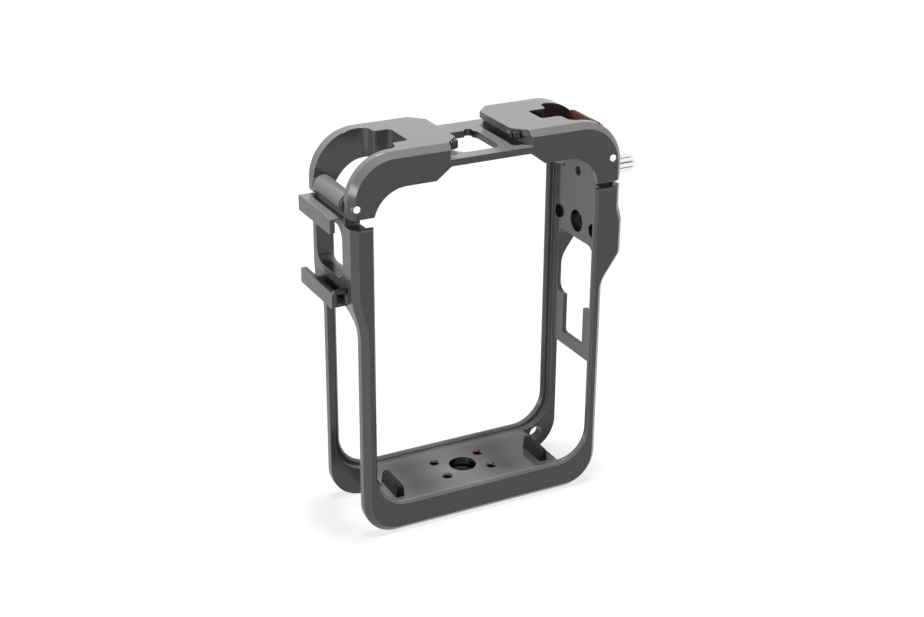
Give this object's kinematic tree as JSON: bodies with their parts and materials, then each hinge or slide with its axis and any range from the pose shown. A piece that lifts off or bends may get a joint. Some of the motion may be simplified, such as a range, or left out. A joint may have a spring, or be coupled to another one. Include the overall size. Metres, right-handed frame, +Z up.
{
  "type": "camera cage",
  "caption": "Hinged aluminium camera cage with a swing-up lid, red latch with a knurled thumb screw, accessory shoes and tripod threads.",
  "frame": {"origin": "centre of the footprint, on the plane of the underside, in the mouth of the floor's tripod thread", "axes": "+Z up, +X to the latch and thumb screw side, +Y to the rear; the side shoe is at -X"},
  "size_m": [0.0761, 0.022, 0.0873],
  "materials": {
    "cage_aluminium": "satin black anodised",
    "latch_red": "satin red anodised",
    "steel": "polished",
    "screw_steel": "knurled, satin",
    "dark_steel": "blackened",
    "washer_black": "matte",
    "rubber": "matte ribbed"
  },
  "bodies": {
    "frame": {"main_frame": "cage_aluminium", "thread_insert_floor": "dark_steel", "pad_left": "rubber", "pad_right": "rubber", "shoe_stop_side": "dark_steel"},
    "lid": {"lid": "cage_aluminium", "hinge_pin": "steel", "hinge_washer_front": "washer_black", "hinge_washer_rear": "washer_black", "latch_pin": "steel", "latch_washer_front": "washer_black", "latch_washer_rear": "washer_black", "shoe_stop_top_left": "dark_steel", "shoe_stop_top_right": "dark_steel"},
    "latch": {"latch_lever": "latch_red"},
    "screw_carrier": {"thumb_screw_washer": "washer_black"},
    "screw": {"thumb_screw": "screw_steel"}
  },
  "joints": [
    {"name": "lid_open", "type": "hinge", "parent": "frame", "child": "lid", "pos_m": [-0.03, 0, 0.0766], "axis": [0, -1, 0], "range_deg": [0, 100]},
    {"name": "latch_open", "type": "hinge", "parent": "lid", "child": "latch", "pos_m": [0.03, -0.0012, 0.0786], "axis": [0, -1, 0], "range_deg": [0, 60]},
    {"name": "screw_travel", "type": "slide", "parent": "latch", "child": "screw_carrier", "axis": [-1, 0, 0], "range_m": [0, 0.0022]},
    {"name": "screw_turn", "type": "hinge", "parent": "screw_carrier", "child": "screw", "pos_m": [0.04, -0.0002, 0.0727], "axis": [-1, 0, 0], "range_deg": [0, 1981]}
  ],
  "couplings": [
    {"joint": "screw_turn", "follows": "screw_travel", "rad_per_m": 15708}
  ]
}
